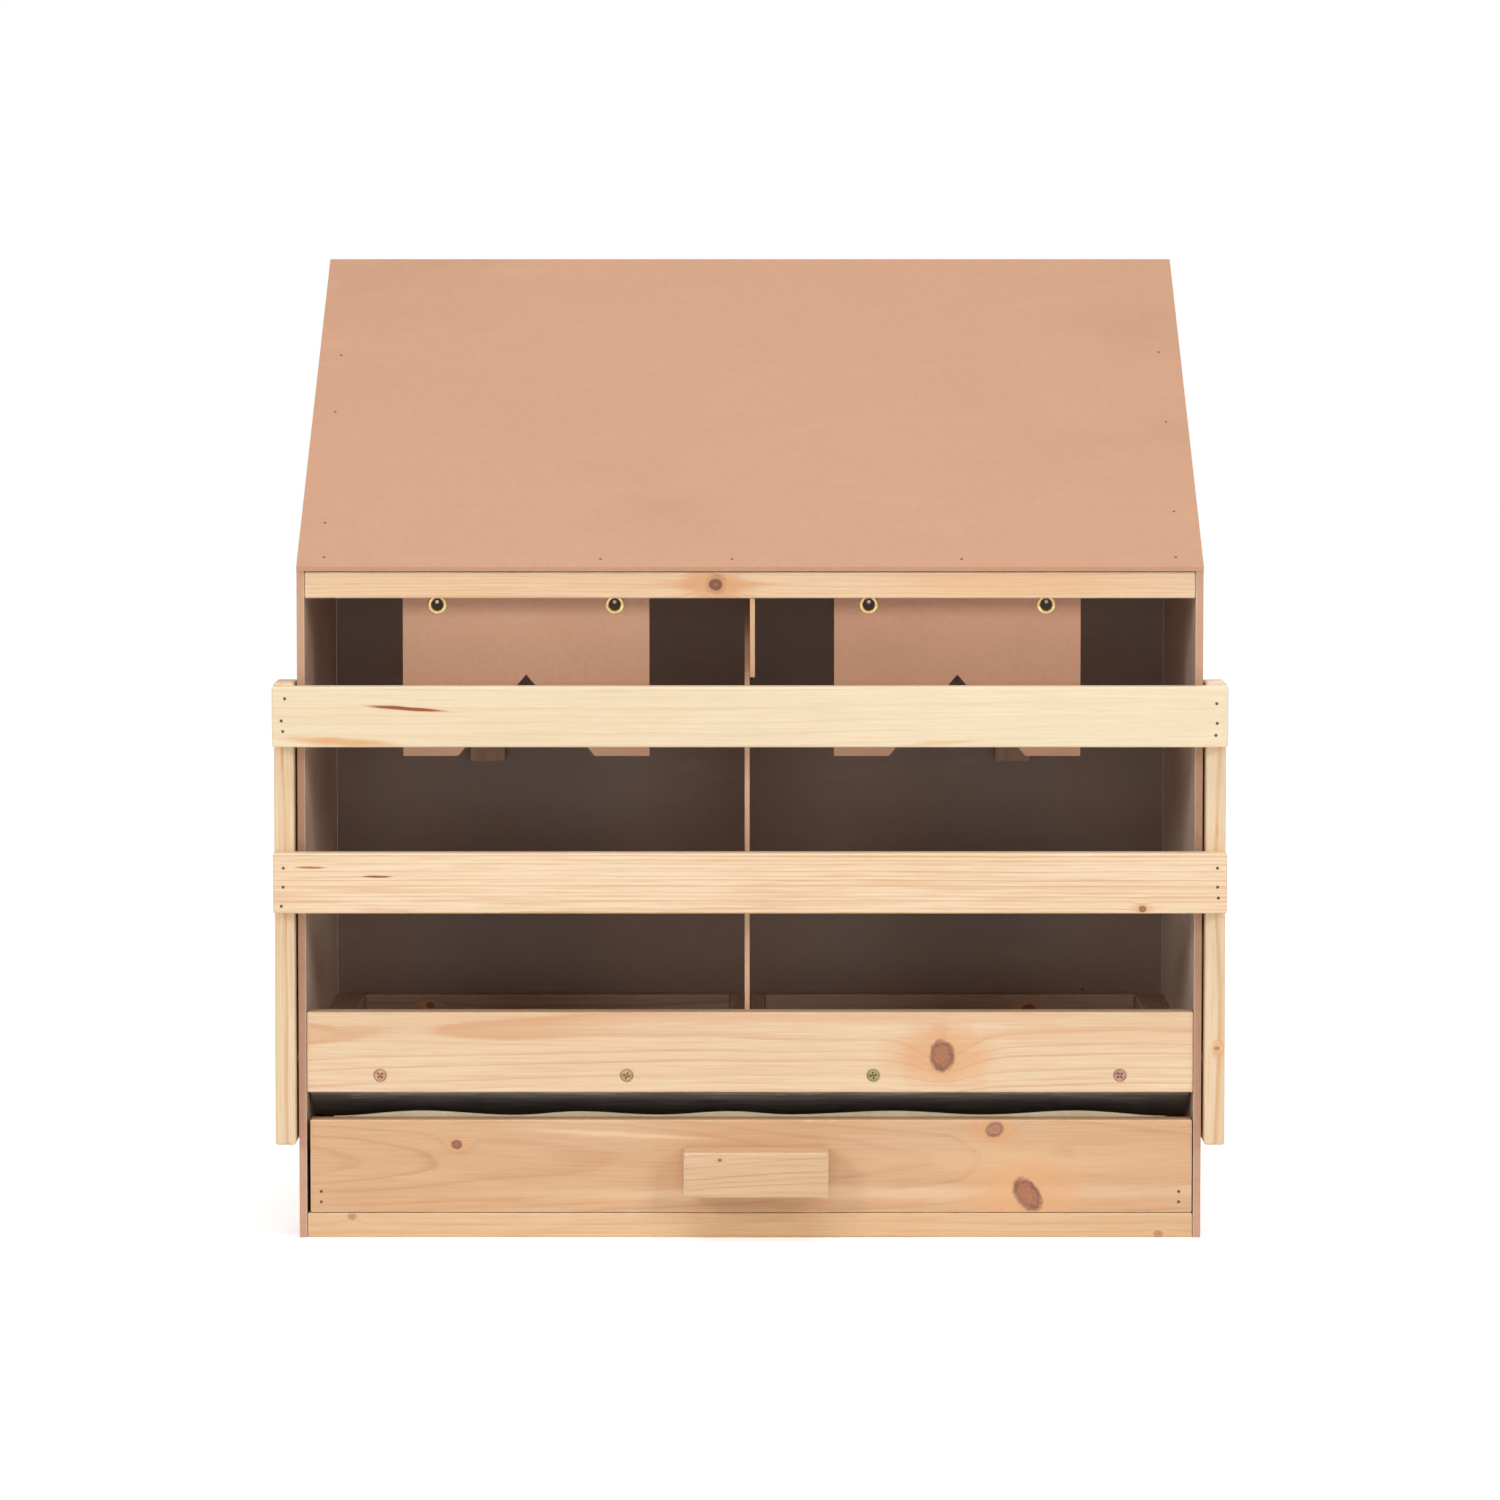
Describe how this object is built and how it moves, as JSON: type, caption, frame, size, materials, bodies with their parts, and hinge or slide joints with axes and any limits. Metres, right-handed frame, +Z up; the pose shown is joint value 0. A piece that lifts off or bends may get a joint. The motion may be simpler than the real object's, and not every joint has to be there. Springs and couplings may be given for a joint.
{
  "type": "laying nest box",
  "caption": "Two-compartment wooden laying nest with pitched roof, hanging notched entrance flaps, folding perch rails, soft nest mats and a pull-out egg drawer.",
  "frame": {"origin": "centre of the bounding box, on the ground under the box", "axes": "+Z up; the entrances, drawer handle and perch face -Y; +X to the right of someone facing the entrances"},
  "size_m": [0.63, 0.4, 0.65],
  "materials": {
    "pine": "planed, unfinished pine",
    "perch_pine": "planed, unfinished pale pine",
    "hardboard": "smooth brown fibreboard, matt",
    "brass": "polished",
    "yellow_zinc": "yellow passivated zinc",
    "bright_steel": "bright zinc",
    "black_rubber": "matt",
    "moulded_liner": "matt felt"
  },
  "bodies": {
    "carcass": {"back_panel": "hardboard", "base_front_batten": "pine", "base_rear_batten": "pine", "divider_lower": "hardboard", "divider_upper": "hardboard", "drawer_runner_left": "pine", "drawer_runner_right": "pine", "flap_hook_left_inner": "bright_steel", "flap_hook_left_outer": "bright_steel", "flap_hook_right_inner": "bright_steel", "flap_hook_right_outer": "bright_steel", "hanger_plate_left": "bright_steel", "hanger_plate_right": "bright_steel", "hanging_batten_left": "pine", "hanging_batten_right": "pine", "kerb_board": "pine", "kerb_screw_1": "yellow_zinc", "kerb_screw_2": "yellow_zinc", "kerb_screw_3": "yellow_zinc", "kerb_screw_4": "yellow_zinc", "nest_batten_inner_left": "pine", "nest_batten_inner_right": "pine", "nest_batten_outer_left": "pine", "nest_batten_outer_right": "pine", "nest_clamp_batten": "pine", "nest_mat_front": "black_rubber", "nest_mat_rear": "black_rubber", "nest_rear_batten_left": "pine", "nest_rear_batten_right": "pine", "perch_stop_left": "pine", "perch_stop_right": "pine", "pivot_screw_left": "yellow_zinc", "pivot_screw_right": "yellow_zinc", "pivot_washer_left": "bright_steel", "pivot_washer_right": "bright_steel", "rear_top_batten": "pine", "roof_batten_left": "pine", "roof_batten_right": "pine", "roof_panel": "hardboard", "side_panel_left": "hardboard", "side_panel_right": "hardboard", "top_rail": "pine"},
    "perch_frame": {"perch_rail_lower": "perch_pine", "perch_rail_upper": "perch_pine", "perch_upright_left": "perch_pine", "perch_upright_right": "perch_pine"},
    "drawer": {"drawer_back": "pine", "drawer_bottom": "hardboard", "drawer_front": "pine", "drawer_handle": "pine", "drawer_liner": "moulded_liner", "drawer_side_left": "pine", "drawer_side_right": "pine"},
    "flap_left": {"flap_board_left": "hardboard", "flap_eyelet_left_inner": "brass", "flap_eyelet_left_outer": "brass"},
    "flap_right": {"flap_board_right": "hardboard", "flap_eyelet_right_inner": "brass", "flap_eyelet_right_outer": "brass"}
  },
  "joints": [
    {"name": "perch_fold", "type": "hinge", "parent": "carcass", "child": "perch_frame", "pos_m": [0, -0.161, 0.12], "axis": [1, 0, 0], "range_deg": [0, 90]},
    {"name": "drawer_slide", "type": "slide", "parent": "carcass", "child": "drawer", "axis": [0, -1, 0], "range_m": [0, 0.25]},
    {"name": "flap_swing_left", "type": "hinge", "parent": "carcass", "child": "flap_left", "pos_m": [-0.149, -0.144, 0.429], "axis": [1, 0, 0], "range_deg": [-15, 90]},
    {"name": "flap_swing_right", "type": "hinge", "parent": "carcass", "child": "flap_right", "pos_m": [0.138, -0.144, 0.429], "axis": [1, 0, 0], "range_deg": [-15, 90]}
  ]
}
